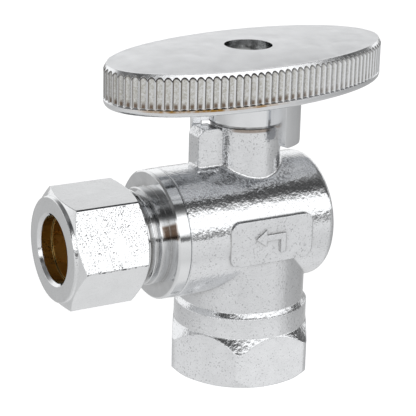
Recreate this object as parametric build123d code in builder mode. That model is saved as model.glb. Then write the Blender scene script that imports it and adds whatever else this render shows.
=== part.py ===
"""Quarter-turn angle stop valve: 3/8 female pipe-thread inlet, 3/8 compression outlet.

Millimetres, +Z up. The origin is the centre of the inlet's end face, on the axis
of the inlet and the stem (Z). The outlet points to -X, the inlet to -Z.
The pieces are drawn with z counted from the ball's centre, where the barrel's
axis (X) crosses, and each is lifted by BALL_HEIGHT when it is written.
The valve is modelled fully open; the handle closes it by turning 90 degrees
clockwise, seen from above.

In the names, _R is a radius, _W a width, _L a length, _AF a size across flats,
and _X0, _X1 (or _Y, _Z) are the lower and upper limits along an axis.
"""

from build123d import *
import math
import os

os.makedirs("parts", exist_ok=True)

# ---------------------------------------------------------------- dimensions
# shared fits
CONTACT_GAP = 0.03       # between faces that rest against each other
SLIDE_GAP = 0.05         # between parts that fit inside one another
PRESS_GAP = 0.02         # behind the seats and round the adapter seal's section
EDGE_BEVEL = 0.12        # small bevels on the body and the adapter's flange
OVERCUT = 1.0            # how far cutting shapes run past the faces they open

# inlet hexagon and collar (body)
HEX_AF = 20.5
HEX_CORNER_R = 1.3       # rounding of the cast corners
BALL_HEIGHT = 23.4       # the ball's centre above the inlet's end face
HEX_BOTTOM = -BALL_HEIGHT
HEX_TOP = -15.4
HEX_TRIM_R = 11.9        # the turned envelope that trims the hexagon's corners
COLLAR_R = 10.2
COLLAR_TOP = -12.3
BOSS_R = 9.65
BOSS_TOP_OF_CONE = -11.5
PIPE_THREAD_MAJOR_R = 8.55   # 3/8-18 pipe thread, root of the female thread
PIPE_MOUTH_BEVEL = 0.7
PIPE_BORE_TOP = -12.9
PIPE_CONE_H = 2.0
PORT_R = 4.4
PORT_TOP = -5.0          # inside the chamber

# barrel (body)
BARREL_R = 9.7
BARREL_X0, BARREL_X1 = -14.0, 10.8
BARREL_END_R = 1.4
CHAMBER_R = 7.0
CHAMBER_X1 = 7.6
SPIGOT_BORE_R = 7.9
SPIGOT_BORE_END = -CHAMBER_X1

# stem neck and stop lug (body)
NECK_R = 5.3
NECK_TOP = 15.6
NECK_MOUTH_BEVEL = 0.35
STEM_BORE_R = 3.15
SHOULDER_BORE_R = 4.05
SHOULDER_BORE_Z0, SHOULDER_BORE_Z1 = 4.5, 8.75
LUG_X0, LUG_X1 = -8.8, -4.9
LUG_Y0, LUG_Y1 = -1.6, 1.85
LUG_TOP = 15.4
LUG_OUTER_BEVEL, LUG_INNER_BEVEL = 1.0, 0.6
CAST_R = 0.5             # casting fillets

# plaque with the flow arrow (body)
PLAQUE_X0, PLAQUE_X1 = -7.6, 6.3
PLAQUE_Z0, PLAQUE_Z1 = -3.5, 3.3
PLAQUE_CENTRE = ((PLAQUE_X0 + PLAQUE_X1) / 2, (PLAQUE_Z0 + PLAQUE_Z1) / 2)
PLAQUE_Y = -9.85
PLAQUE_R = 1.5
ARROW_H = 0.35
ARROW_ROOT = 0.1         # depth the arrow is sunk into the plaque
# (x, z) from the plaque's centre: up from the inlet, then towards the outlet
ARROW_OUTLINE = (
    (1.3, -1.9), (2.2, -1.9), (2.2, 1.05), (-1.1, 1.05), (-1.1, 1.9),
    (-2.9, 0.6), (-1.1, -0.7), (-1.1, 0.15), (1.3, 0.15),
)

# outlet adapter
SPIGOT_R = SPIGOT_BORE_R - SLIDE_GAP
SPIGOT_END = SPIGOT_BORE_END - SLIDE_GAP
FLANGE_R = 9.65
FLANGE_X0, FLANGE_X1 = -16.1, BARREL_X0 - CONTACT_GAP
SHOULDER_R = 7.3
SHOULDER_X0 = -17.6
SHOULDER_BEVEL = 0.15
THREAD_CORE_R = 6.50     # 9/16-24 thread, crests at 7.14, pitch 1.058
ADAPTER_X0 = -25.8
ADAPTER_BEVEL = 0.3      # outer bevels of the flange and the threaded end
SOCKET_R = 4.85          # takes a 9.525 mm tube
SOCKET_END = -18.6
SOCKET_CONE_L = 0.7
SEAT_CONE_R = 5.95
SEAT_CONE_X = -24.3
FLOW_R = 3.6
SEAL_GROOVE_X0, SEAL_GROOVE_X1 = -13.9, -12.5
SEAL_GROOVE_R = 6.75

# compression nut and ferrule
NUT_AF = 15.875
NUT_TILT = 53.2          # direction of one corner, degrees from -Y towards +Z
NUT_X0, NUT_X1 = -31.55, -20.0
NUT_NOSE_X1 = -31.0      # the turned face stands proud of the hexagon up to here
NUT_FACE_R = 7.9
NUT_TRIM_R = NUT_FACE_R + 1.65   # clear of the hexagon's corners
NUT_EDGE_R = 0.3         # rounding along the six corners
NUT_BORE_R = 4.95
NUT_BORE_BEVEL = 0.45
NUT_CAVITY_R = 7.25      # clears the thread's crests
NUT_CAVITY_BEVEL = 0.4
NUT_CONE_X0, NUT_CONE_X1 = -29.5, -27.95
NUT_CONE_R = 5.95
FERRULE_X0, FERRULE_X1 = -29.3, -24.55
FERRULE_R_OUT, FERRULE_R_IN = 5.70, 4.82
FERRULE_R_TIP = 5.0
FERRULE_CONE_L0, FERRULE_CONE_L1 = 1.3, 1.25     # cones at the -X and +X ends

# ball and seats
BALL_R = 6.3
BALL_PORT_R = 3.2
SLOT_W = 2.6
SLOT_FLOOR = 4.2
SEAT_X = 4.2             # distance of the seats' ball-side faces from the centre
SEAT_R_OUT, SEAT_R_IN = 6.95, 3.5
SEAT_MIDDLE_ANGLE = 41   # a point on the spherical face, degrees from the X axis

# stem, washer, O-rings
TANG_W, TANG_L = 2.4, 7.4
TANG_BOTTOM = 4.35
TANG_CORNER_R = 0.4
STEM_OVERLAP = 0.5       # how far the tang and the square run into the round stem
STEM_SHOULDER_R = 3.95
STEM_SHOULDER_BEVEL = 0.3
STEM_SHOULDER_Z0, STEM_SHOULDER_Z1 = 6.7, 8.1
STEM_R = STEM_BORE_R - SLIDE_GAP
STEM_ROUND_TOP = 15.65
STEM_TOP = 21.5
SQUARE_AF = 4.30
STEM_TAP_R = 1.50
STEM_TAP_BOTTOM = 15.0
GROOVE_R = 2.10
GROOVE_W = 1.20
RING_CENTRE_R = 2.62
RING_SECTION_R = 0.49
RING_Z = (10.45, 12.95)
WASHER_Z0 = STEM_SHOULDER_Z1 + CONTACT_GAP
WASHER_Z1 = SHOULDER_BORE_Z1 - CONTACT_GAP
WASHER_R_OUT, WASHER_R_IN = SHOULDER_BORE_R - SLIDE_GAP, 3.16

# handle
HANDLE_A, HANDLE_B = 24.55, 12.25    # half axes over the crests of the flutes
HANDLE_TURN = 9.6                    # long axis, degrees about +Z from +X
PLATE_BOTTOM = 20.5
PLATE_EDGE_TOP = 26.60
PLATE_CROWN = 27.15
PLATE_MARGIN = 0.02                  # trimming oval outside the crests
RIM_BEVEL_IN, RIM_BEVEL_DOWN = 0.42, 0.80
PLATE_LOWER_R = 0.80
CROWN_INSET = 0.75
FLUTES = 104
FLUTE_DEPTH = 0.23
FLUTE_BOTTOM = 21.95     # the flutes run out just above the lower edge's rounding
FLUTE_OVERLAP = 1.0      # how far the fluted rim reaches down into the smooth band
BAND_MARGIN = 0.3
BAND_BEVEL = 0.7
HUB_R = 5.53
HUB_BOTTOM = 15.76
HUB_HOLE_R = 3.57
WEB_Z0, WEB_Z1 = 21.6, 23.0
POCKET_TOP = 23.9
POCKET_WALL = 2.2
HUB_TOP = POCKET_TOP + 0.5           # the hub and the prongs end inside the plate
RIB_W = 1.4
RIB_EXTRA_L = 0.8                    # rib length beyond the hollow, both ends together
RIB_RAISE = 0.6                      # ribs' lower edge above the plate's
SQUARE_HOLE_AF = SQUARE_AF + 0.08
SCREW_HOLE_R = 1.70
PRONG_R0, PRONG_R1 = 6.9, 8.3        # the prongs are short arcs round the neck
PRONG_SWEEP = 32.0                   # degrees each prong covers
PRONG_BOTTOM = 13.1
PRONG_CORNER_R = 0.7
TIE_TRIM = 3                         # degrees a tie web stops short of its prong's ends
TIE_R0, TIE_R1 = HUB_R - 0.8, PRONG_R0 + 0.5
QUARTER_TURN = 90.0

# screw
HEAD_R = 3.1
HEAD_EDGE_R = 1.1
HEAD_Z0, HEAD_Z1 = WEB_Z1, 25.1
SHANK_R = STEM_TAP_R - SLIDE_GAP
SHANK_BOTTOM = 15.6
SHANK_BEVEL = 0.3
CROSS_L, CROSS_W, CROSS_DEPTH = 3.4, 0.75, 1.3


# ---------------------------------------------------------------- helpers
def write(part, name):
    """Lift a piece to its place and write its STEP file."""
    placed = part.moved(Location((0, 0, BALL_HEIGHT)))
    placed.label = name
    export_step(placed, f"parts/{name}.step")


def hex_corner_radius(across_flats):
    return across_flats / 2 / math.cos(math.pi / 6)


def turned_about_x(*outline):
    """Solid of revolution about X from (x, radius) points."""
    with BuildPart() as solid:
        with BuildSketch(Plane.XY):
            with BuildLine():
                Polyline(*outline, close=True)
            make_face()
        revolve(axis=Axis.X)
    return solid.part


def round_ring(plane, axis, centre, section_r):
    """Ring of round section, its centre given in the plane."""
    with BuildPart() as ring:
        with BuildSketch(plane):
            with Locations(centre):
                Circle(section_r)
        revolve(axis=axis)
    return ring.part


# ---------------------------------------------------------------- inlet hexagon (joins the body)
with BuildPart() as inlet_hex:
    with BuildSketch(Plane.XY.offset(HEX_BOTTOM)):
        RegularPolygon(radius=hex_corner_radius(HEX_AF), side_count=6, rotation=0)
    extrude(amount=HEX_TOP - HEX_BOTTOM)
    fillet(inlet_hex.edges().filter_by(Axis.Z), HEX_CORNER_R)
    with BuildSketch(Plane.XZ):
        with BuildLine():
            Polyline(
                (0, HEX_BOTTOM), (10.0, HEX_BOTTOM),
                (10.75, HEX_BOTTOM + 0.35), (11.45, HEX_BOTTOM + 1.05),
                (HEX_TRIM_R, HEX_BOTTOM + 2.2), (HEX_TRIM_R, -17.9), (11.35, -17.1),
                (COLLAR_R, HEX_TOP), (0, HEX_TOP), close=True,
            )
        make_face()
    revolve(axis=Axis.Z, mode=Mode.INTERSECT)


# ---------------------------------------------------------------- body
def is_root_edge(edge):
    """Edges where the neck and the lug rise out of the barrel."""
    box = edge.bounding_box()
    reach = NECK_R + 0.1
    return (
        8.0 < box.min.Z and box.max.Z < BARREL_R + 0.01
        and LUG_X0 - 0.1 < box.min.X and box.max.X < reach
        and -reach < box.min.Y and box.max.Y < reach
    )


def is_lug_corner(edge):
    """Upright edges of the lug."""
    box = edge.bounding_box()
    return box.max.X < -4 and 9 < box.min.Z < 10 and box.max.Z > 14


def is_on_outlet_face(edge):
    box = edge.bounding_box()
    return abs(box.min.X - BARREL_X0) < 0.01 and abs(box.max.X - BARREL_X0) < 0.01


with BuildPart() as body:
    # barrel
    with BuildSketch(Plane.YZ.offset(BARREL_X0)):
        Circle(BARREL_R)
    extrude(amount=BARREL_X1 - BARREL_X0)
    fillet(body.faces().sort_by(Axis.X)[-1].edges(), BARREL_END_R)
    # boss and collar below it
    with BuildSketch(Plane.XZ):
        with BuildLine():
            Polyline(
                (0, 0), (BOSS_R, 0), (BOSS_R, BOSS_TOP_OF_CONE),
                (COLLAR_R - EDGE_BEVEL, COLLAR_TOP + EDGE_BEVEL),
                (COLLAR_R, COLLAR_TOP), (COLLAR_R, HEX_TOP), (0, HEX_TOP), close=True,
            )
        make_face()
    revolve(axis=Axis.Z)
    # neck for the stem
    with BuildSketch(Plane.XY):
        Circle(NECK_R)
    extrude(amount=NECK_TOP)
    # stop lug
    with BuildSketch(Plane.XZ.offset(-LUG_Y1)):
        with BuildLine():
            Polyline(
                (LUG_X0, 0), (LUG_X0, LUG_TOP - LUG_OUTER_BEVEL),
                (LUG_X0 + LUG_OUTER_BEVEL, LUG_TOP), (LUG_X1 - LUG_INNER_BEVEL, LUG_TOP),
                (LUG_X1, LUG_TOP - LUG_INNER_BEVEL), (LUG_X1, 0), close=True,
            )
        make_face()
    extrude(amount=LUG_Y1 - LUG_Y0)
    # plaque
    with BuildSketch(Plane.XZ.offset(-PLAQUE_Y)):
        with Locations(PLAQUE_CENTRE):
            RectangleRounded(PLAQUE_X1 - PLAQUE_X0, PLAQUE_Z1 - PLAQUE_Z0, PLAQUE_R)
    extrude(amount=PLAQUE_Y)
    add(inlet_hex.part)

    soft_edges = body.edges().filter_by(is_root_edge) + body.edges().filter_by(
        Axis.Z
    ).filter_by(is_lug_corner)
    fillet(soft_edges, CAST_R)
    seam = body.edges().filter_by(GeomType.CIRCLE).filter_by(is_on_outlet_face)
    chamfer(seam, EDGE_BEVEL)
    # flow arrow
    with BuildSketch(Plane.XZ.offset(-PLAQUE_Y - ARROW_ROOT)):
        with Locations(PLAQUE_CENTRE):
            Polygon(*ARROW_OUTLINE, align=None)
    extrude(amount=ARROW_H + ARROW_ROOT)
    # chamber and spigot bore, along X
    with BuildSketch(Plane.XY):
        with BuildLine():
            Polyline(
                (BARREL_X0 - OVERCUT, 0), (BARREL_X0 - OVERCUT, SPIGOT_BORE_R),
                (SPIGOT_BORE_END, SPIGOT_BORE_R), (SPIGOT_BORE_END, CHAMBER_R),
                (CHAMBER_X1, CHAMBER_R), (CHAMBER_X1, 0), close=True,
            )
        make_face()
    revolve(axis=Axis.X, mode=Mode.SUBTRACT)
    # threaded inlet and port, along Z
    with BuildSketch(Plane.XZ):
        with BuildLine():
            mouth_r = PIPE_THREAD_MAJOR_R + PIPE_MOUTH_BEVEL
            Polyline(
                (0, HEX_BOTTOM - OVERCUT), (mouth_r, HEX_BOTTOM - OVERCUT), (mouth_r, HEX_BOTTOM),
                (PIPE_THREAD_MAJOR_R, HEX_BOTTOM + PIPE_MOUTH_BEVEL),
                (PIPE_THREAD_MAJOR_R, PIPE_BORE_TOP), (PORT_R, PIPE_BORE_TOP + PIPE_CONE_H),
                (PORT_R, PORT_TOP), (0, PORT_TOP), close=True,
            )
        make_face()
    revolve(axis=Axis.Z, mode=Mode.SUBTRACT)
    # stem bore, with the pocket for its shoulder opening into the chamber
    with BuildSketch(Plane.XZ):
        with BuildLine():
            mouth_r = STEM_BORE_R + NECK_MOUTH_BEVEL
            Polyline(
                (0, SHOULDER_BORE_Z0), (SHOULDER_BORE_R, SHOULDER_BORE_Z0),
                (SHOULDER_BORE_R, SHOULDER_BORE_Z1), (STEM_BORE_R, SHOULDER_BORE_Z1),
                (STEM_BORE_R, NECK_TOP - NECK_MOUTH_BEVEL), (mouth_r, NECK_TOP),
                (mouth_r, NECK_TOP + OVERCUT), (0, NECK_TOP + OVERCUT), close=True,
            )
        make_face()
    revolve(axis=Axis.Z, mode=Mode.SUBTRACT)
write(body.part, "body")

# ---------------------------------------------------------------- outlet adapter
outlet_adapter = turned_about_x(
    # spigot with the seal groove
    (SPIGOT_END, FLOW_R), (SPIGOT_END, SPIGOT_R), (SEAL_GROOVE_X1, SPIGOT_R),
    (SEAL_GROOVE_X1, SEAL_GROOVE_R), (SEAL_GROOVE_X0, SEAL_GROOVE_R), (SEAL_GROOVE_X0, SPIGOT_R),
    # flange
    (FLANGE_X1, SPIGOT_R), (FLANGE_X1, FLANGE_R - EDGE_BEVEL), (FLANGE_X1 - EDGE_BEVEL, FLANGE_R),
    (FLANGE_X0 + ADAPTER_BEVEL, FLANGE_R), (FLANGE_X0, FLANGE_R - ADAPTER_BEVEL),
    # shoulder
    (FLANGE_X0, SHOULDER_R), (SHOULDER_X0 + SHOULDER_BEVEL, SHOULDER_R),
    (SHOULDER_X0, SHOULDER_R - SHOULDER_BEVEL), (SHOULDER_X0 - SHOULDER_BEVEL, THREAD_CORE_R),
    # threaded end
    (ADAPTER_X0 + ADAPTER_BEVEL, THREAD_CORE_R), (ADAPTER_X0, THREAD_CORE_R - ADAPTER_BEVEL),
    # ferrule seat and tube socket
    (ADAPTER_X0, SEAT_CONE_R), (SEAT_CONE_X, SOCKET_R), (SOCKET_END, SOCKET_R),
    (SOCKET_END + SOCKET_CONE_L, FLOW_R),
)
write(outlet_adapter, "outlet_adapter")

# ---------------------------------------------------------------- adapter seal
adapter_seal = round_ring(
    Plane.XY,
    Axis.X,
    centre=((SEAL_GROOVE_X0 + SEAL_GROOVE_X1) / 2, (SEAL_GROOVE_R + SPIGOT_BORE_R) / 2),
    section_r=(SPIGOT_BORE_R - SEAL_GROOVE_R) / 2 - PRESS_GAP,
)
write(adapter_seal, "adapter_seal")

# ---------------------------------------------------------------- compression nut
with BuildPart() as compression_nut:
    with BuildSketch(Plane.YZ.offset(NUT_X0)):
        RegularPolygon(radius=hex_corner_radius(NUT_AF), side_count=6, rotation=180 - NUT_TILT)
    extrude(amount=NUT_X1 - NUT_X0)
    fillet(compression_nut.edges().filter_by(Axis.X), NUT_EDGE_R)
    # turned outside: nose and bevelled ends
    with BuildSketch(Plane.XY):
        with BuildLine():
            Polyline(
                (NUT_X0, 0), (NUT_X0, NUT_FACE_R - 0.3), (NUT_X0 + 0.15, NUT_FACE_R - 0.15),
                (NUT_NOSE_X1, NUT_FACE_R - 0.1), (NUT_NOSE_X1 + 1.0, NUT_TRIM_R),
                (NUT_X1 - 0.9, NUT_TRIM_R), (NUT_X1, NUT_FACE_R), (NUT_X1, 0), close=True,
            )
        make_face()
    revolve(axis=Axis.X, mode=Mode.INTERSECT)
    # tube bore, ferrule cone and thread cavity
    with BuildSketch(Plane.XY):
        with BuildLine():
            bore_mouth_r = NUT_BORE_R + NUT_BORE_BEVEL
            cavity_mouth_r = NUT_CAVITY_R + NUT_CAVITY_BEVEL
            Polyline(
                (NUT_X0 - OVERCUT, 0), (NUT_X0 - OVERCUT, bore_mouth_r), (NUT_X0, bore_mouth_r),
                (NUT_X0 + NUT_BORE_BEVEL, NUT_BORE_R), (NUT_CONE_X0, NUT_BORE_R),
                (NUT_CONE_X1, NUT_CONE_R), (NUT_CONE_X1, NUT_CAVITY_R),
                (NUT_X1 - NUT_CAVITY_BEVEL, NUT_CAVITY_R), (NUT_X1, cavity_mouth_r),
                (NUT_X1 + OVERCUT, cavity_mouth_r), (NUT_X1 + OVERCUT, 0), close=True,
            )
        make_face()
    revolve(axis=Axis.X, mode=Mode.SUBTRACT)
write(compression_nut.part, "compression_nut")

# ---------------------------------------------------------------- compression ferrule
compression_ferrule = turned_about_x(
    (FERRULE_X0, FERRULE_R_IN), (FERRULE_X0, FERRULE_R_TIP),
    (FERRULE_X0 + FERRULE_CONE_L0, FERRULE_R_OUT), (FERRULE_X1 - FERRULE_CONE_L1, FERRULE_R_OUT),
    (FERRULE_X1, FERRULE_R_TIP), (FERRULE_X1, FERRULE_R_IN),
)
write(compression_ferrule, "compression_ferrule")

# ---------------------------------------------------------------- ball
with BuildPart() as ball:
    Sphere(BALL_R)
    # the passage turns from -X down to -Z, with a spherical elbow
    for plane in (Plane.YZ, Plane.XY):
        with BuildSketch(plane):
            Circle(BALL_PORT_R)
        extrude(amount=-(BALL_R + OVERCUT), mode=Mode.SUBTRACT)
    Sphere(BALL_PORT_R, mode=Mode.SUBTRACT)
    # slot for the stem's tang
    with BuildSketch(Plane.XY.offset(SLOT_FLOOR)):
        Rectangle(2 * (BALL_R + OVERCUT), SLOT_W)
    extrude(amount=BALL_R, mode=Mode.SUBTRACT)
write(ball.part, "ball")


# ---------------------------------------------------------------- seats
def seat(side, end_x):
    """Seat on the -X (side -1) or +X (side 1) half of the ball, ending at end_x."""
    sphere_r = BALL_R + CONTACT_GAP
    angle = math.radians(SEAT_MIDDLE_ANGLE)
    mouth = (side * SEAT_X, math.sqrt(sphere_r**2 - SEAT_X**2))
    middle = (side * sphere_r * math.cos(angle), sphere_r * math.sin(angle))
    throat = (side * math.sqrt(sphere_r**2 - SEAT_R_IN**2), SEAT_R_IN)
    with BuildPart() as ring:
        with BuildSketch(Plane.XY):
            with BuildLine():
                Polyline(
                    mouth, (side * SEAT_X, SEAT_R_OUT), (end_x, SEAT_R_OUT),
                    (end_x, SEAT_R_IN), throat,
                )
                ThreePointArc(throat, middle, mouth)
            make_face()
        revolve(axis=Axis.X)
    return ring.part


write(seat(-1, SPIGOT_BORE_END + PRESS_GAP), "outlet_seat")
write(seat(1, CHAMBER_X1 - PRESS_GAP), "rear_seat")

# ---------------------------------------------------------------- stem
groove_corners = [
    (radius, ring_z + side * GROOVE_W / 2)
    for ring_z in RING_Z
    for radius, side in ((STEM_R, -1), (GROOVE_R, -1), (GROOVE_R, 1), (STEM_R, 1))
]

with BuildPart() as stem:
    with BuildSketch(Plane.XZ):
        with BuildLine():
            Polyline(
                (0, STEM_SHOULDER_Z0), (STEM_SHOULDER_R - STEM_SHOULDER_BEVEL, STEM_SHOULDER_Z0),
                (STEM_SHOULDER_R, STEM_SHOULDER_Z0 + STEM_SHOULDER_BEVEL),
                (STEM_SHOULDER_R, STEM_SHOULDER_Z1), (STEM_R, STEM_SHOULDER_Z1),
                *groove_corners, (STEM_R, STEM_ROUND_TOP), (0, STEM_ROUND_TOP), close=True,
            )
        make_face()
    revolve(axis=Axis.Z)
    with BuildSketch(Plane.XY.offset(TANG_BOTTOM)):
        RectangleRounded(TANG_L, TANG_W, TANG_CORNER_R)
    extrude(amount=STEM_SHOULDER_Z0 + STEM_OVERLAP - TANG_BOTTOM)
    with BuildSketch(Plane.XY.offset(STEM_ROUND_TOP - STEM_OVERLAP)):
        Rectangle(SQUARE_AF, SQUARE_AF)
    extrude(amount=STEM_TOP - STEM_ROUND_TOP + STEM_OVERLAP)
    with BuildSketch(Plane.XY.offset(STEM_TAP_BOTTOM)):
        Circle(STEM_TAP_R)
    extrude(amount=STEM_TOP, mode=Mode.SUBTRACT)
write(stem.part, "stem")

# ---------------------------------------------------------------- stem's thrust washer and O-rings
with BuildPart() as stem_thrust_washer:
    with BuildSketch(Plane.XY.offset(WASHER_Z0)):
        Circle(WASHER_R_OUT)
        Circle(WASHER_R_IN, mode=Mode.SUBTRACT)
    extrude(amount=WASHER_Z1 - WASHER_Z0)
write(stem_thrust_washer.part, "stem_thrust_washer")

for level, ring_z in zip(("lower", "upper"), RING_Z):
    o_ring = round_ring(Plane.XZ, Axis.Z, (RING_CENTRE_R, ring_z), RING_SECTION_R)
    write(o_ring, f"stem_o_ring_{level}")


# ---------------------------------------------------------------- handle
def handle_plane(z):
    """Horizontal plane at height z whose x runs along the handle's long axis."""
    angle = math.radians(HANDLE_TURN)
    return Plane(origin=(0, 0, z), x_dir=(math.cos(angle), math.sin(angle), 0), z_dir=(0, 0, 1))


def rim_points():
    """Crests and roots in turn round the oval at equal arc lengths, closed."""
    steps = 7200
    angles = [2 * math.pi * i / steps for i in range(steps + 1)]
    oval = [(HANDLE_A * math.cos(t), HANDLE_B * math.sin(t)) for t in angles]
    lengths = [0.0]
    for start, end in zip(oval, oval[1:]):
        lengths.append(lengths[-1] + math.dist(start, end))
    points = []
    j = 0
    for k in range(2 * FLUTES):
        target = lengths[-1] * k / (2 * FLUTES)
        while lengths[j + 1] < target:
            j += 1
        fraction = (target - lengths[j]) / (lengths[j + 1] - lengths[j])
        angle = 2 * math.pi * (j + fraction) / steps
        normal_x, normal_y = HANDLE_B * math.cos(angle), HANDLE_A * math.sin(angle)
        inset = (FLUTE_DEPTH if k % 2 else 0.0) / math.hypot(normal_x, normal_y)
        points.append((
            HANDLE_A * math.cos(angle) - inset * normal_x,
            HANDLE_B * math.sin(angle) - inset * normal_y,
        ))
    return points + points[:1]


def is_prong_corner(edge):
    """Edges at the level of the prongs' lower ends."""
    box = edge.bounding_box()
    return abs(box.min.Z - PRONG_BOTTOM) < 0.01 and abs(box.max.Z - PRONG_BOTTOM) < 0.01


rim = rim_points()
# Start angles: one prong rests on the lug's +Y side when open,
# the other on its -Y side after a quarter turn.
lug_angle_pos_y = math.degrees(math.asin((LUG_Y1 + CONTACT_GAP) / PRONG_R0))
lug_angle_neg_y = math.degrees(math.asin((-LUG_Y0 + CONTACT_GAP) / PRONG_R0))
open_prong_start = 180 - lug_angle_pos_y - PRONG_SWEEP
closed_prong_start = 180 + lug_angle_neg_y + QUARTER_TURN

with BuildPart() as plate_form:
    with BuildSketch(handle_plane(PLATE_BOTTOM)):
        Ellipse(HANDLE_A + PLATE_MARGIN, HANDLE_B + PLATE_MARGIN)
    extrude(amount=PLATE_EDGE_TOP - PLATE_BOTTOM)
    top = plate_form.faces().sort_by(Axis.Z)[-1]
    chamfer(top.edges(), RIM_BEVEL_IN, RIM_BEVEL_DOWN, reference=top)
    fillet(plate_form.faces().sort_by(Axis.Z)[0].edges(), PLATE_LOWER_R)

with BuildPart() as crown:
    # height and scale of each oval, going up
    for z, scale_factor in (
        (PLATE_EDGE_TOP - 0.02, 1.0),
        (PLATE_EDGE_TOP + 0.38, 0.62),
        (PLATE_CROWN, 0.18),
    ):
        with BuildSketch(handle_plane(z)):
            Ellipse((HANDLE_A - CROWN_INSET) * scale_factor, (HANDLE_B - CROWN_INSET) * scale_factor)
    loft()

with BuildPart() as lower_band:
    with BuildSketch(handle_plane(PLATE_BOTTOM)):
        Ellipse(HANDLE_A + BAND_MARGIN, HANDLE_B + BAND_MARGIN)
    extrude(amount=FLUTE_BOTTOM - PLATE_BOTTOM)
    chamfer(lower_band.faces().sort_by(Axis.Z)[-1].edges(), BAND_BEVEL)

with BuildPart() as handle:
    # fluted rim on a smooth band, trimmed by the chamfered oval
    with BuildSketch(handle_plane(FLUTE_BOTTOM - FLUTE_OVERLAP)):
        with BuildLine():
            for k in range(FLUTES):
                ThreePointArc(rim[2 * k], rim[2 * k + 1], rim[2 * k + 2])
        make_face()
    extrude(amount=PLATE_CROWN - FLUTE_BOTTOM + FLUTE_OVERLAP)
    add(lower_band.part)
    add(plate_form.part, mode=Mode.INTERSECT)
    add(crown.part)
    # hollow under the plate
    with BuildSketch(handle_plane(PLATE_BOTTOM - OVERCUT)):
        Ellipse(HANDLE_A - POCKET_WALL, HANDLE_B - POCKET_WALL)
    extrude(amount=POCKET_TOP - PLATE_BOTTOM + OVERCUT, mode=Mode.SUBTRACT)
    # stiffening ribs in the hollow
    with BuildSketch(handle_plane(PLATE_BOTTOM + RIB_RAISE)):
        Rectangle(2 * (HANDLE_A - POCKET_WALL) + RIB_EXTRA_L, RIB_W)
        Rectangle(RIB_W, 2 * (HANDLE_B - POCKET_WALL) + RIB_EXTRA_L)
    extrude(amount=POCKET_TOP - PLATE_BOTTOM)
    # hub
    with BuildSketch(Plane.XY.offset(HUB_BOTTOM)):
        Circle(HUB_R)
    extrude(amount=HUB_TOP - HUB_BOTTOM)
    # stop prongs, each followed by the web that ties it to the hub
    for start in (open_prong_start, closed_prong_start):
        for inner_r, outer_r, trim, bottom in (
            (PRONG_R0, PRONG_R1, 0, PRONG_BOTTOM),
            (TIE_R0, TIE_R1, TIE_TRIM, HUB_BOTTOM),
        ):
            with BuildSketch(Plane.XY.offset(bottom)):
                with BuildLine():
                    inner = CenterArc((0, 0), inner_r, start + trim, PRONG_SWEEP - 2 * trim)
                    outer = CenterArc((0, 0), outer_r, start + trim, PRONG_SWEEP - 2 * trim)
                    Line(inner @ 0, outer @ 0)
                    Line(inner @ 1, outer @ 1)
                make_face()
            extrude(amount=HUB_TOP - bottom)
    prong_corners = handle.edges().filter_by(GeomType.LINE).filter_by(is_prong_corner)
    fillet(prong_corners, PRONG_CORNER_R)
    # square hole for the stem, screw hole and the recess for the screw's head
    with BuildSketch(Plane.XY.offset(HUB_BOTTOM - OVERCUT)):
        Rectangle(SQUARE_HOLE_AF, SQUARE_HOLE_AF)
    extrude(amount=WEB_Z0 - HUB_BOTTOM + OVERCUT, mode=Mode.SUBTRACT)
    with BuildSketch(Plane.XY.offset(WEB_Z0 - OVERCUT / 2)):
        Circle(SCREW_HOLE_R)
    extrude(amount=WEB_Z1 - WEB_Z0 + OVERCUT, mode=Mode.SUBTRACT)
    with BuildSketch(Plane.XY.offset(WEB_Z1)):
        Circle(HUB_HOLE_R)
    extrude(amount=PLATE_CROWN, mode=Mode.SUBTRACT)
write(handle.part, "handle")

# ---------------------------------------------------------------- handle screw
with BuildPart() as handle_screw:
    with BuildSketch(Plane.XY.offset(HEAD_Z0)):
        Circle(HEAD_R)
    extrude(amount=HEAD_Z1 - HEAD_Z0)
    fillet(handle_screw.faces().sort_by(Axis.Z)[-1].edges(), HEAD_EDGE_R)
    with BuildSketch(Plane.XY.offset(SHANK_BOTTOM)):
        Circle(SHANK_R)
    extrude(amount=HEAD_Z0 - SHANK_BOTTOM)
    chamfer(handle_screw.faces().sort_by(Axis.Z)[0].edges(), SHANK_BEVEL)
    # cross recess
    with BuildSketch(Plane.XY.offset(HEAD_Z1 - CROSS_DEPTH)):
        Rectangle(CROSS_L, CROSS_W)
        Rectangle(CROSS_W, CROSS_L)
    extrude(amount=CROSS_DEPTH + 0.7, mode=Mode.SUBTRACT)
write(handle_screw.part, "handle_screw")
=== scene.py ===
# A chrome angle valve with a ball inside. The outlet and its compression nut lie along -X, the
# inlet opens down -Z and the handle sits on top at +Z. The front is -Y. The outlet's axis runs
# at height AXIS_Z above the origin, and the stem's axis is the Z axis.
import math

import bmesh
import bpy
from mathutils import Matrix, Vector


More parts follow.
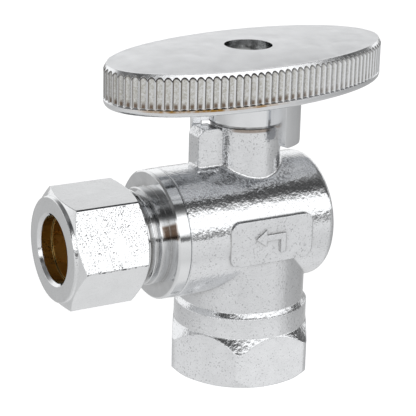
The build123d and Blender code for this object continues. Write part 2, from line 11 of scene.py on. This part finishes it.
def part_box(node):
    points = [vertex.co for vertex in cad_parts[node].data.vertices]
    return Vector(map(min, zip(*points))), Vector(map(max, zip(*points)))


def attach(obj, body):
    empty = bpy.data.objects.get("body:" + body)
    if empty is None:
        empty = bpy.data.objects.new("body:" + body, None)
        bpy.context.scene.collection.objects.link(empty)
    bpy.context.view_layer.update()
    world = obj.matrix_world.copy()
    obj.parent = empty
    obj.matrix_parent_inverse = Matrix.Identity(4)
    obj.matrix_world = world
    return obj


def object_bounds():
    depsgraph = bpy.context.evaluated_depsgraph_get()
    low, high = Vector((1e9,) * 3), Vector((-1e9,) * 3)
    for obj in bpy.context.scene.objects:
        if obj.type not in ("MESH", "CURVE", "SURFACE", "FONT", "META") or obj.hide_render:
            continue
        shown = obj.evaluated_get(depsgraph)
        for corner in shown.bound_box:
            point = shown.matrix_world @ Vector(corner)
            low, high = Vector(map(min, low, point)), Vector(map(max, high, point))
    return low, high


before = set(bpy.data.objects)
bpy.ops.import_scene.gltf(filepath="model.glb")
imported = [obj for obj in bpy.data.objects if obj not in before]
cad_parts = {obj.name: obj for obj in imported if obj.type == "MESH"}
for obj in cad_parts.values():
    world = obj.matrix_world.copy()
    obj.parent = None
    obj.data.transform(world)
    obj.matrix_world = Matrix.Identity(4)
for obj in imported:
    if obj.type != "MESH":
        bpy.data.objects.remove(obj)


def box_lists():
    low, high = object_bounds()
    return [[float(v) for v in low], [float(v) for v in high]]


cad_box = box_lists()
MM = 0.001
scene = bpy.context.scene
adapter_low, adapter_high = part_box("outlet_adapter")
AXIS_Z = (adapter_low[2] + adapter_high[2]) / 2
AXIS_MM = AXIS_Z / MM


# ------------------------------------------------------------------ shader trees
def operator(operation, swapped=False):
    """A method that adds a math node of two inputs."""
    def apply(self, other):
        pair = (other, self) if swapped else (self, other)
        return self.tree.math(operation, *pair)
    return apply


class Signal:
    """An output socket that takes arithmetic; every operation adds a math node."""

    def __init__(self, tree, socket):
        self.tree = tree
        self.socket = socket

    __add__ = operator("ADD")
    __radd__ = operator("ADD", swapped=True)
    __sub__ = operator("SUBTRACT")
    __rsub__ = operator("SUBTRACT", swapped=True)
    __mul__ = operator("MULTIPLY")
    __truediv__ = operator("DIVIDE")
    __lt__ = operator("LESS_THAN")
    __gt__ = operator("GREATER_THAN")

    def window(self, *bounds, base=0.0, unit=MM):
        """0 up to the first bound, 1 from the second to the third, 0 from the fourth on."""
        a, b, c, d = [base + bound * unit for bound in bounds]
        rise = self.tree.remap(self, a, b, kind="SMOOTHSTEP")
        fall = self.tree.remap(self, c, d, to=(1.0, 0.0), kind="SMOOTHSTEP")
        return rise * fall


class Tree:
    """Short calls for building a shader tree. Those that add a value return a Signal."""

    def __init__(self, owner, fresh=True):
        owner.use_nodes = True
        self.tree = owner.node_tree
        if fresh:
            self.tree.nodes.clear()
        # value for the third input of a two-input math node; None leaves Blender's own
        self.spare = 0.0 if fresh else None

    def put(self, socket, value):
        """Link a Signal, or set a plain value; None leaves the socket alone."""
        if isinstance(value, Signal):
            self.tree.links.new(value.socket, socket)
        elif value is not None:
            socket.default_value = value

    def node(self, kind, inputs=None, **settings):
        node = self.tree.nodes.new(kind)
        for key, value in settings.items():
            setattr(node, key, value)
        for key, value in (inputs or {}).items():
            self.put(node.inputs[key], value)
        return node

    def get(self, kind, inputs=None, output=0, **settings):
        return Signal(self, self.node(kind, inputs, **settings).outputs[output])

    def finish(self, shader, kind="ShaderNodeOutputMaterial"):
        self.node(kind, {0: shader})

    def math(self, operation, a, b=0.0, c=None):
        third = self.spare if c is None else c
        return self.get("ShaderNodeMath", {0: a, 1: b, 2: third}, operation=operation)

    def hypot(self, a, b):
        return self.math("SQRT", a * a + b * b)

    def xyz(self, vector):
        node = self.node("ShaderNodeSeparateXYZ", {0: vector})
        return [Signal(self, socket) for socket in node.outputs]

    def dot(self, vector, direction):
        return self.get("ShaderNodeVectorMath", {0: vector, 1: direction}, "Value",
                        operation="DOT_PRODUCT")

    def coords(self):
        return self.get("ShaderNodeTexCoord", output="Object")

    def true_normal(self):
        return self.get("ShaderNodeNewGeometry", output="True Normal")

    def mix(self, share, a, b):
        return self.get("ShaderNodeMix", {0: share, 6: a, 7: b}, output=2, data_type="RGBA")

    def remap(self, value, start, end, to=(0.0, 1.0), kind="LINEAR"):
        return self.get("ShaderNodeMapRange", {0: value, 1: start, 2: end, 3: to[0], 4: to[1]},
                        clamp=True, interpolation_type=kind)

    def ramp(self, value, *stops):
        """A ramp of greys. Stops are (position, grey)."""
        node = self.node("ShaderNodeValToRGB", {0: value})
        node.color_ramp.interpolation = "LINEAR"
        elements = node.color_ramp.elements
        while len(elements) < len(stops):
            elements.new(0.5)
        for element, (position, grey) in zip(elements, stops):
            element.position = position
            element.color = (grey, grey, grey, 1)
        return Signal(self, node.outputs[0])

    def noise(self, vector, scale, detail=2.0, rough=0.6):
        return self.get("ShaderNodeTexNoise", {
            "Vector": vector, "Scale": scale, "Detail": detail, "Roughness": rough})

    def blotches(self, vector, scale, start, end, **noise):
        """Noise through a ramp; start and end are (noise level, grey)."""
        return self.ramp(self.noise(vector, scale, **noise), start, end)

    def stretch(self, vector, *scale):
        return self.get("ShaderNodeMapping", {0: vector, "Scale": scale})

    def bump(self, height, distance, normal=None, strength=0.5):
        return self.get("ShaderNodeBump", {
            "Strength": strength, "Distance": distance, "Height": height, "Normal": normal})

    def crevices(self):
        """1 in tight corners, 0 in the open."""
        openness = self.get("ShaderNodeAmbientOcclusion", {"Distance": 0.9 * MM}, "AO",
                            samples=8, only_local=True)
        return self.remap(openness, 0.35, 0.95, to=(1.0, 0.0))


def darker(colour, share):
    return tuple(share * c for c in colour[:3]) + (1,)


def add_specks(tree, coords, colour, roughness, amount, scale, cut, side=None):
    """Dark pits where noise passes cut, mostly on faces that look along side if it is given."""
    mask = tree.blotches(coords, scale, (cut, 0), (cut + 0.05, 1), detail=1.0, rough=0.5)
    mask = mask * tree.blotches(coords, 420.0, (0.34, 0.25), (0.58, 1), rough=0.5)
    mask = mask * amount
    if side is not None:
        facing_side = tree.dot(tree.true_normal(), side)
        mask = mask * tree.ramp(facing_side, (0.90, 0.10), (0.97, 1))
    return tree.mix(mask, colour, (0.13, 0.13, 0.135, 1)), roughness + mask * 0.15


def metal(name, base, rough, peel, fine, crevice_shade, bevel=0.10, crevice_shade_colour=(0.10, 0.085, 0.065, 1),
          specks=None, stretch=None, tint=None):
    """Plated or bare metal with soft edges, orange peel, fine grain, wear and painted shade in
    crevices.

    rough is (least, most); peel and fine are (noise scale, depth); bevel is in mm; the crevice
    share and colour paint shade into crevices; stretch scales the fine grain along X, Y, Z; tint
    paints shade, reflections and marks into the colour.
    """
    material = bpy.data.materials.new(name)
    tree = Tree(material)
    coords = tree.coords()
    grain_coords = tree.stretch(coords, *stretch) if stretch else coords
    soft_edges = tree.get("ShaderNodeBevel", {0: bevel * MM}, samples=6)
    broad = tree.noise(coords, peel[0] * 0.28, rough=0.55)
    ripples = tree.noise(coords, peel[0], detail=2.5, rough=0.55)
    grain = tree.noise(grain_coords, fine[0], detail=3.0)
    height = ripples * 0.65 + broad * 0.9
    normal = tree.bump(height, peel[1] * MM * 10, soft_edges, strength=0.55)
    normal = tree.bump(grain, fine[1] * MM * 10, normal)
    wear = tree.noise(coords, 340.0, detail=4.0, rough=0.65)
    least, most = rough
    roughness = least + tree.ramp(wear, (0.32, 0), (0.72, 1)) * (most - least)
    colour = tree.mix(tree.ramp(broad, (0.3, 0), (0.75, 1)), darker(base, 0.93), base)
    if tint is not None:
        colour = tint(tree, coords, colour)
    if specks:
        colour, roughness = add_specks(tree, coords, colour, roughness, **specks)
    # painted shade: an occlusion mask darkens crevices, broken up by the wear noise
    if crevice_shade:
        crevice_shade_mask = tree.crevices() * tree.ramp(wear, (0.25, 0.45), (0.7, 1)) * crevice_shade
        colour = tree.mix(crevice_shade_mask, colour, crevice_shade_colour)
        roughness = roughness + crevice_shade_mask * 0.3
    tree.finish(tree.get("ShaderNodeBsdfPrincipled", {
        "Metallic": 1.0, "Base Color": colour, "Roughness": roughness, "Normal": normal}))
    return material


def plain(name, base, rough, depth=0.004):
    """Non-metal with soft mottling, and grain that changes its roughness."""
    material = bpy.data.materials.new(name)
    tree = Tree(material)
    coords = tree.coords()
    grain = tree.noise(coords, 1500.0, detail=3.0)
    mottling = tree.noise(coords, 1500.0 * 0.2, rough=0.5)
    tree.finish(tree.get("ShaderNodeBsdfPrincipled", {
        "Base Color": tree.mix(mottling, darker(base, 0.82), base),
        "Roughness": rough + grain * 0.15,
        "Specular IOR Level": 0.4,
        "Normal": tree.bump(grain, depth * MM * 5)}))
    return material


def reopen(material):
    """The tree of a finished material, its principled inputs and what feeds one of them."""
    tree = Tree(material, fresh=False)
    inputs = next(n for n in tree.tree.nodes if n.type == "BSDF_PRINCIPLED").inputs
    return tree, inputs, lambda key: Signal(tree, inputs[key].links[0].from_socket)


# ------------------------------------------------------------------ stains, in mm by window()
def handle_tint(tree, coords, colour):
    """Painted shade in the rim's flutes, dark at their ends, and a painted golden reflection on
    the lip below.
    """
    x, y, z = tree.xyz(coords)
    turn = math.radians(9.6)        # of the handle about Z
    half_length, half_width = 24.55 * MM, 12.25 * MM        # of the ellipse through the crests
    flute_low, flute_high = AXIS_Z + 21.95 * MM, AXIS_Z + 25.80 * MM

    def along_handle(a, b):
        return a * math.cos(turn) + b * math.sin(turn), b * math.cos(turn) - a * math.sin(turn)

    u, v = along_handle(x, y)
    u_share, v_share = u / half_length, v / half_width
    level = tree.hypot(u_share, v_share)
    u_slope, v_slope = u_share / half_length, v_share / half_width
    steepness = tree.hypot(u_slope, v_slope) / tree.math("MAXIMUM", level, 0.01)
    depth = (1.0 - level) / steepness       # metres below the crests
    local_normal = tree.get("ShaderNodeVectorTransform", {0: tree.true_normal()},
                            vector_type="NORMAL", convert_from="WORLD", convert_to="OBJECT")
    normal_x, normal_y, normal_z = tree.xyz(local_normal)
    upright = tree.math("ABSOLUTE", normal_z) < 0.3
    middle = x.window(-24, -19, -7, 2) * (y < 0.0)
    right = x.window(-4, 14, 40, 50)

    # the floor of each flute, greyed with painted shade
    grain = tree.blotches(coords, 2900.0, (0.40, 0.30), (0.60, 1), detail=3.0, rough=0.75)
    run = z.window(flute_low - 0.35 * MM, flute_low - 0.10 * MM,
                   flute_high + 0.45 * MM, flute_high + 0.55 * MM, unit=1) * upright
    inside = depth.window(0.110, 0.16, 1.0, 2.0) * run * grain * (0.85 - right * 0.40)
    colour = tree.mix(inside, colour, (0.47, 0.455, 0.40, 1))

    # painted shade on one flank of each flute: the one whose face looks along the rim
    normal_u, normal_v = along_handle(normal_x, normal_y)
    aslant = (normal_v * u_slope - normal_u * v_slope) / tree.hypot(u_slope, v_slope)
    flank = depth.window(0.035, 0.060, 0.145, 0.175)
    flank = flank * aslant.window(0.20, 0.35, 2.0, 3.0, unit=1) * run * (0.60 + middle * 0.25)
    colour = tree.mix(flank, colour, (0.10, 0.075, 0.05, 1))

    # painted shade: dark outline of the arches at the top, and the dark foot of each flute
    above_arch = (z - flute_high) - depth * 1.9
    arch = above_arch.window(-0.34, -0.16, 0.2, 0.5) * upright * (0.60 + middle * 0.38)
    colour = tree.mix(arch, colour, (0.055, 0.05, 0.05, 1))
    foot = z.window(-0.4, -0.1, 0.15, 0.85, base=flute_low) * upright
    foot = foot * depth.window(0.16, 0.215, 1.0, 2.0) * (0.85 - right * 0.60)
    colour = tree.mix(foot, colour, (0.12, 0.065, 0.03, 1))

    # painted shadow: a dark line round the lower edge of the hub
    hub = z.window(15.70, 15.76, 15.98, 16.12, base=AXIS_Z) * (tree.hypot(x, y) < 5.58 * MM)
    hub = hub * tree.blotches(coords, 900.0, (0.35, 0.5), (0.6, 1))
    colour = tree.mix(hub * 0.85, colour, (0.07, 0.065, 0.06, 1))

    # painted golden reflection: a warm streak on the lip below the flutes
    lip = flute_low - 0.36 * MM
    golden_reflection = z.window(-0.42, -0.26, 0.00, 0.12, base=lip) * middle
    golden_reflection = golden_reflection * tree.blotches(coords, 700.0, (0.34, 0.30), (0.58, 1))
    return tree.mix(golden_reflection, colour, (0.34, 0.185, 0.04, 1))


def body_tint(tree, coords, colour):
    """Painted shadow at the top of the neck under the hub, and dark grain round its foot."""
    x, y, z = tree.xyz(coords)
    radius = tree.hypot(x, y)
    # painted shadow: brown shade on the neck just under the hub
    neck_top_shadow = radius.window(4.9, 5.1, 5.45, 5.6)
    neck_top_shadow = neck_top_shadow * z.window(15.0, 15.25, 15.62, 15.8, base=AXIS_Z)
    neck_top_shadow = neck_top_shadow * x.window(-4.6, -3.8, 0.5, 1.8)
    colour = tree.mix(neck_top_shadow * 0.75, colour, (0.24, 0.17, 0.12, 1))
    foot = radius.window(5.6, 6.0, 6.5, 8.0) * z.window(6.5, 7.2, 9.4, 9.9, base=AXIS_Z)
    foot = foot * tree.blotches(coords, 2600.0, (0.46, 0), (0.56, 1), rough=0.65)
    return tree.mix(foot * 0.65, colour, (0.16, 0.16, 0.165, 1))


NUT_TILT = 23.2         # degrees by which the nut's front flat looks up from the horizon
NUT_EDGE_RADIUS = 8.5 * MM


def facing(tilt):
    """Direction to the front, raised by tilt degrees."""
    return 0.0, -math.cos(math.radians(tilt)), math.sin(math.radians(tilt))


def nut_tint(tree, coords, colour):
    """Dark reflections in the rounded edges of the hexagon's front flat."""
    geometry = tree.node("ShaderNodeNewGeometry")
    _, y, z = tree.xyz(Signal(tree, geometry.outputs["Position"]))
    normal = Signal(tree, geometry.outputs["True Normal"])
    height = z - AXIS_Z
    outer = (y * y + height * height) > NUT_EDGE_RADIUS ** 2
    # tilt of the edge, half angle it takes in, ramp stops: upper edge solid, lower edge dotted
    edges = (
        (NUT_TILT + 30, 27.0, (0.30, 0.7), (0.45, 1)),
        (NUT_TILT - 30, 22.0, (0.50, 0.05), (0.57, 1)),
    )
    for tilt, half_angle, start, end in edges:
        edge = outer * (tree.dot(normal, facing(tilt)) > math.cos(math.radians(half_angle)))
        edge = edge * tree.blotches(coords, 2300.0, start, end)
        colour = tree.mix(edge * 0.90, colour, (0.045, 0.045, 0.05, 1))
    return colour


def adapter_tint(tree, coords, colour):
    """Grey shade along the barrel, and a brown patch on the rim of the flange."""
    x, y, z = tree.xyz(coords)
    shade = x.window(-30, -29, -16.3, -15.9) * tree.blotches(
        tree.stretch(coords, 4.0, 0.5, 0.5), 620.0, (0.35, 0.25), (0.65, 0.75), detail=3.0)
    colour = tree.mix(shade * 0.8, colour, (0.42, 0.42, 0.425, 1))
    angle = tree.math("ARCTAN2", z - AXIS_Z, y * -1.0)
    patch = angle.window(0.19, 0.24, 0.45, 0.52, unit=1)        # radians up from the front
    patch = patch * x.window(-17.4, -17.2, -16.1, -15.8)
    patch = patch * tree.blotches(
        tree.stretch(coords, 3.0, 0.6, 0.6), 900.0, (0.3, 0.55), (0.6, 1))
    return tree.mix(patch * 0.9, colour, (0.17, 0.105, 0.06, 1))


# ------------------------------------------------------------------ materials
def satin_top(material):
    """Roughen the faces that look up, so that the flat top is satin and the rim bright."""
    tree, inputs, feed = reopen(material)
    up = tree.xyz(tree.true_normal())[2]
    flat_top = tree.remap(up, 0.90, 0.985)
    tree.put(inputs["Roughness"], feed("Roughness") + flat_top * 0.27)


def bore_brass(material):
    """The plating stops at the mouth of the adapter, so its bore shows bare brass."""
    tree, inputs, feed = reopen(material)
    _, y, z = tree.xyz(tree.coords())
    height = z - AXIS_Z
    inside = (y * y + height * height) < (6.1 * MM) ** 2
    brass = (0.80, 0.60, 0.27, 1)
    tree.put(inputs["Base Color"], tree.mix(inside, feed("Base Color"), brass))
    tree.put(inputs["Roughness"], feed("Roughness") + inside * 0.34)
    tree.put(inputs["Metallic"], 1.0 - inside * 0.6)


CHROME = (0.80, 0.81, 0.825, 1)
# brown for the painted shade in the crevices of brass parts
BRASS_CREVICE_SHADE = (0.12, 0.07, 0.02, 1)
cast_chrome = metal(
    "cast_chrome", CHROME, rough=(0.06, 0.15), peel=(2300.0, 0.0125), fine=(5200.0, 0.0014),
    bevel=0.30, crevice_shade=0.62, specks=dict(amount=0.36, scale=3600.0, cut=0.615), tint=body_tint)
turned_chrome = metal(
    "turned_chrome", (0.81, 0.82, 0.83, 1), rough=(0.06, 0.13), peel=(900.0, 0.0022),
    fine=(5200.0, 0.0010), bevel=0.12, crevice_shade=0.4, stretch=(6.0, 0.4, 0.4), tint=adapter_tint)
nut_chrome = metal(
    "nut_chrome", (0.83, 0.84, 0.85, 1), rough=(0.07, 0.14), peel=(900.0, 0.0016),
    fine=(5200.0, 0.0010), bevel=0.16, crevice_shade=0.20, tint=nut_tint,
    specks=dict(amount=0.95, scale=5400.0, cut=0.570, side=facing(NUT_TILT)))
handle_chrome = metal(
    "handle_chrome", (0.83, 0.84, 0.855, 1), rough=(0.10, 0.18), peel=(900.0, 0.002),
    fine=(5200.0, 0.0016), bevel=0.07, crevice_shade=0.0, tint=handle_tint)
satin_top(handle_chrome)
ball_chrome = metal(
    "ball_chrome", CHROME, rough=(0.03, 0.08), peel=(500.0, 0.0006), fine=(5000.0, 0.0004),
    crevice_shade=0.1)
plain_brass = metal(
    "plain_brass", (0.66, 0.46, 0.17, 1), rough=(0.24, 0.42), peel=(700.0, 0.0018),
    fine=(5200.0, 0.0016), bevel=0.06, crevice_shade=0.5, crevice_shade_colour=BRASS_CREVICE_SHADE, stretch=(5.0, 0.5, 0.5))
stem_brass = metal(
    "stem_brass", (0.68, 0.50, 0.22, 1), rough=(0.20, 0.36), peel=(700.0, 0.0018),
    fine=(5200.0, 0.0014), bevel=0.06, crevice_shade=0.4, crevice_shade_colour=BRASS_CREVICE_SHADE, stretch=(0.5, 0.5, 5.0))
screw_steel = metal(
    "screw_steel", (0.44, 0.44, 0.42, 1), rough=(0.22, 0.40), peel=(900.0, 0.002),
    fine=(5200.0, 0.0016), bevel=0.08, crevice_shade=0.6)
seat_plastic = plain("seat_plastic", (0.90, 0.90, 0.87, 1), rough=0.35)
seal_rubber = plain("seal_rubber", (0.025, 0.025, 0.025, 1), rough=0.45, depth=0.003)
bore_brass(turned_chrome)

MATERIALS = {
    "body": cast_chrome,
    "outlet_adapter": turned_chrome,
    "adapter_seal": seal_rubber,
    "compression_nut": nut_chrome,
    "compression_ferrule": plain_brass,
    "ball": ball_chrome,
    "outlet_seat": seat_plastic,
    "rear_seat": seat_plastic,
    "stem": stem_brass,
    "stem_thrust_washer": seat_plastic,
    "stem_o_ring_lower": seal_rubber,
    "stem_o_ring_upper": seal_rubber,
    "handle": handle_chrome,
    "handle_screw": screw_steel,
}
for name, material in MATERIALS.items():
    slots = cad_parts[name].data.materials
    slots.clear()
    slots.append(material)


# ------------------------------------------------------------------ threads, in mm
def helix_ridge(name, along, side, start, length, pitch, section, scale_at, material, body,
                steps=84):
    """A closed, right-handed thread ridge.

    along is the way the helix advances from the outlet's axis over the origin, and side a
    direction across it. section lists (radius, half width) from the root to the crest,
    scale_at(share) is how far the crest stands along the way, and steps is per turn.
    """
    foot, along, side = Vector((0, 0, AXIS_MM)), Vector(along), Vector(side)
    other = along.cross(side)
    turns = length / pitch
    count = int(turns * steps)
    root = section[0][0]
    bm = bmesh.new()
    rings = []
    for i in range(count + 1):
        share = i / count
        angle = 2 * math.pi * turns * share
        grow = scale_at(share)
        radial = side * math.cos(angle) + other * math.sin(angle)
        half = [(root + (radius - root) * grow, width) for radius, width in section]
        outline = [(radius, -width) for radius, width in half] + half[::-1]
        centre = start + length * share
        rings.append([
            bm.verts.new((foot + radial * radius + along * (centre + offset)) * MM)
            for radius, offset in outline])
    for ring, following in zip(rings, rings[1:]):
        for k in range(len(ring)):
            j = (k + 1) % len(ring)
            bm.faces.new((ring[k], ring[j], following[j], following[k]))
    bm.faces.new(rings[0])
    bm.faces.new(list(reversed(rings[-1])))
    bmesh.ops.recalc_face_normals(bm, faces=bm.faces)
    mesh = bpy.data.meshes.new(name)
    bm.to_mesh(mesh)
    bm.free()
    for polygon in mesh.polygons:
        polygon.use_smooth = False
    mesh.materials.append(material)
    ridge = bpy.data.objects.new(name, mesh)
    scene.collection.objects.link(ridge)
    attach(ridge, body)


def fade(edge):
    """Crest height that rises over the first share of the way and falls over the last."""
    return lambda share: max(0.03, min(1.0, share / edge, (1 - share) / edge))


INCH = 25.4
PITCH = INCH / 24
OUTLET_START = 18.02
NUT_START = 21.02
thread_chrome = metal(
    "thread_chrome", (0.80, 0.81, 0.82, 1), rough=(0.07, 0.15), peel=(700.0, 0.0012),
    fine=(5200.0, 0.0008), bevel=0.02, crevice_shade=0.85)
helix_ridge(
    "outlet_thread", along=(-1, 0, 0), side=(0, 1, 0), start=OUTLET_START, length=7.35,
    pitch=PITCH, section=[(6.44, 0.47), (6.55, 0.41), (7.10, 0.085), (7.14, 0.045)],
    scale_at=fade(0.05), material=thread_chrome, body="valve_body")
# the nut's crests lie half a pitch off the outlet's
helix_ridge(
    "nut_thread", along=(-1, 0, 0), side=(0, 1, 0),
    start=NUT_START - (NUT_START - OUTLET_START) % PITCH + PITCH / 2, length=6.0,
    pitch=PITCH, section=[(7.29, 0.40), (7.20, 0.37), (6.68, 0.07), (6.64, 0.04)],
    scale_at=fade(0.06), material=thread_chrome, body="turning_nut")
inlet_brass = metal(
    "inlet_brass", (0.66, 0.48, 0.20, 1), rough=(0.20, 0.36), peel=(700.0, 0.0015),
    fine=(5200.0, 0.0012), bevel=0.06, crevice_shade=0.5, crevice_shade_colour=BRASS_CREVICE_SHADE)
helix_ridge(
    "inlet_pipe_thread", along=(0, 0, -1), side=(1, 0, 0), start=13.7, length=8.7,
    pitch=INCH / 18, section=[(8.60, 0.62), (8.50, 0.58), (7.62, 0.09), (7.56, 0.05)],
    scale_at=lambda share: fade(0.08)(share) * (1.18 - 0.18 * share),
    material=inlet_brass, body="valve_body", steps=96)

# ------------------------------------------------------------------ floor
FLOOR_HALF = 6
floor_z = cad_box[0][2] - 0.00003
floor_mesh = bpy.data.meshes.new("floor")
corners = [(-1, -1), (1, -1), (1, 1), (-1, 1)]
floor_mesh.from_pydata(
    [(x * FLOOR_HALF, y * FLOOR_HALF, floor_z) for x, y in corners], [], [(0, 1, 2, 3)])
floor = bpy.data.objects.new("floor", floor_mesh)
scene.collection.objects.link(floor)

WHITE = (1, 1, 1, 1)


def share_of(tree, y, z):
    """Angle round X: 0 at the front horizon, 0.5 overhead, 1 at the back, negative below."""
    return tree.math("ARCTAN2", z, y * -1.0) / math.pi


def camera_switch(tree, others, camera):
    """One shader for the camera and another for every other ray."""
    is_camera = tree.get("ShaderNodeLightPath", output="Is Camera Ray")
    return tree.get("ShaderNodeMixShader", {0: is_camera, 1: others, 2: camera})


def floor_paint():
    material = bpy.data.materials.new("floor_paint")
    tree = Tree(material)
    diffuse = tree.get("ShaderNodeBsdfDiffuse", {0: (0.90, 0.90, 0.905, 1)})
    lift = tree.get("ShaderNodeEmission", {0: WHITE, 1: 0.70})
    seen = tree.get("ShaderNodeAddShader", {0: diffuse, 1: lift})
    # the metal sees it brighter close by and towards the front, dimmer far to the right
    geometry = tree.node("ShaderNodeNewGeometry")
    incoming, position = [Signal(tree, geometry.outputs[k]) for k in ("Incoming", "Position")]
    ray = tree.get("ShaderNodeVectorMath", {0: incoming, "Scale": -1.0}, operation="SCALE")
    x, y, z = tree.xyz(ray)
    back_to_front = tree.ramp(
        share_of(tree, y, z) + 1.0,
        (0.00, 0.60), (0.16, 0.60), (0.34, 0.70), (0.47, 0.735), (0.60, 0.745), (0.72, 0.77),
        (0.82, 0.82), (0.91, 0.88), (0.97, 0.95), (1.00, 0.95))
    left_to_right = tree.ramp(
        tree.math("MULTIPLY_ADD", x, 0.5, 0.5),
        (0.00, 0.98), (0.15, 0.96), (0.30, 0.90), (0.62, 0.94), (0.80, 0.96), (0.93, 0.66),
        (1.00, 0.62))
    distance = tree.get("ShaderNodeVectorMath", {0: position}, "Value", operation="LENGTH")
    near = tree.remap(distance, 0.022, 0.042, to=(1.18, 1.0), kind="SMOOTHSTEP")
    glow = tree.get("ShaderNodeEmission", {0: back_to_front, 1: left_to_right * near})
    tree.finish(camera_switch(tree, others=glow, camera=seen))
    return material


floor_mesh.materials.append(floor_paint())

# ------------------------------------------------------------------ world
# A soft tent of light: dark line at the horizon, bright front box, dark overhead, paler back.
TENT_STRENGTH = 1.5
# (share_of the direction, brightness)
TENT = [
    (0.000, 0.30), (0.012, 0.13), (0.036, 0.13), (0.055, 0.95), (0.075, 1.45), (0.235, 1.45),
    (0.262, 0.70), (0.288, 0.24), (0.318, 0.10), (0.365, 0.07), (0.395, 0.09), (0.430, 0.19),
    (0.480, 0.25), (0.530, 0.17), (0.600, 0.18), (0.660, 0.17), (0.700, 0.26), (0.750, 0.36),
    (0.780, 0.58), (0.815, 0.84), (0.860, 1.10), (1.000, 1.12),
]
world = bpy.data.worlds.new("studio")
scene.world = world
tree = Tree(world)
_, y, z = tree.xyz(tree.get("ShaderNodeTexCoord", output="Generated"))
band = tree.ramp(share_of(tree, y, z), *[(at, level / TENT_STRENGTH) for at, level in TENT])
tent = tree.get("ShaderNodeBackground", {0: band, 1: TENT_STRENGTH})
backdrop = tree.get("ShaderNodeBackground", {0: WHITE})
tree.finish(camera_switch(tree, others=tent, camera=backdrop), "ShaderNodeOutputWorld")

scene.view_settings.view_transform = "Standard"
scene.view_settings.look = "None"

# ------------------------------------------------------------------ camera
camera_data = bpy.data.cameras.new("camera")
camera_data.sensor_width = 36.0
camera_data.lens = 139.49
camera_data.clip_start = 0.01
camera_data.clip_end = 50.0
camera = bpy.data.objects.new("camera", camera_data)
scene.collection.objects.link(camera)
camera_right = Vector((0.8718273, -0.48918035, 0.02489471))
camera_up = Vector((0.13388172, 0.28687986, 0.94856504))
camera_back = Vector((-0.47116117, -0.82365195, 0.315602))
placement = Matrix((camera_right, camera_up, camera_back)).transposed().to_4x4()
placement.translation = Vector((-0.11974, -0.19868, 0.07885 + AXIS_Z))
camera.matrix_world = placement
scene.camera = camera
